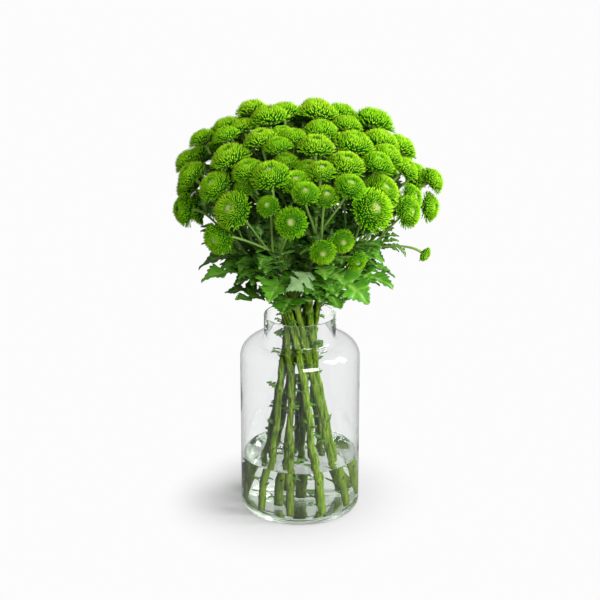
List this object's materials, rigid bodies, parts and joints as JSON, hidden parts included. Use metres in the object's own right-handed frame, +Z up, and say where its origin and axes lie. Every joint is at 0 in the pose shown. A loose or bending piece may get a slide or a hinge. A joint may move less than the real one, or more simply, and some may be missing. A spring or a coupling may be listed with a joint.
{
  "type": "button chrysanthemums in a glass jar",
  "caption": "Domed hand-tied bunch of green button chrysanthemum sprays with lobed leaves, standing in a clear glass milk-bottle jar of water.",
  "frame": {"origin": "middle of the jar's flat foot, on the surface that it stands on", "axes": "+Z up along the jar's axis, -Y towards the front of the bunch, +X to its right"},
  "size_m": [0.3206, 0.311, 0.513],
  "materials": {
    "clear_glass": "smooth and clear",
    "water": "still water",
    "cane_green": "ribbed green bark",
    "button_green": "soft matt florets",
    "leaf_green": "satin above, downy below"
  },
  "bodies": {
    "root": {"jar": "clear_glass", "water": "water", "stem_01": "cane_green", "stem_02": "cane_green", "stem_03": "cane_green", "stem_04": "cane_green", "stem_05": "cane_green", "stem_06": "cane_green", "stem_07": "cane_green", "stem_08": "cane_green", "stem_09": "cane_green", "stem_10": "cane_green", "stem_11": "cane_green", "stem_12": "cane_green", "lower_shoot_01": "button_green", "lower_shoot_02": "button_green", "lower_shoot_03": "button_green", "lower_shoot_04": "button_green", "lower_shoot_05": "button_green", "lower_shoot_06": "button_green", "lower_shoot_07": "button_green", "lower_shoot_08": "button_green", "lower_shoot_09": "button_green", "lower_shoot_10": "button_green", "lower_shoot_11": "button_green", "lower_shoot_12": "button_green", "upper_shoot_01": "button_green", "upper_shoot_02": "button_green", "upper_shoot_03": "button_green", "upper_shoot_04": "button_green", "upper_shoot_05": "button_green", "upper_shoot_06": "button_green", "upper_shoot_07": "button_green", "upper_shoot_08": "button_green", "upper_shoot_09": "button_green", "upper_shoot_10": "button_green", "upper_shoot_11": "button_green", "upper_shoot_12": "button_green", "leaf_01": "leaf_green", "leaf_02": "leaf_green", "leaf_03": "leaf_green", "leaf_04": "leaf_green", "leaf_05": "leaf_green", "leaf_06": "leaf_green", "leaf_07": "leaf_green", "leaf_08": "leaf_green", "leaf_09": "leaf_green", "leaf_10": "leaf_green", "leaf_11": "leaf_green", "leaf_12": "leaf_green", "leaf_13": "leaf_green", "leaf_14": "leaf_green", "leaf_15": "leaf_green", "leaf_16": "leaf_green", "leaf_17": "leaf_green", "leaf_18": "leaf_green", "leaf_19": "leaf_green", "leaf_20": "leaf_green", "leaf_21": "leaf_green", "leaf_22": "leaf_green"}
  },
  "joints": []
}
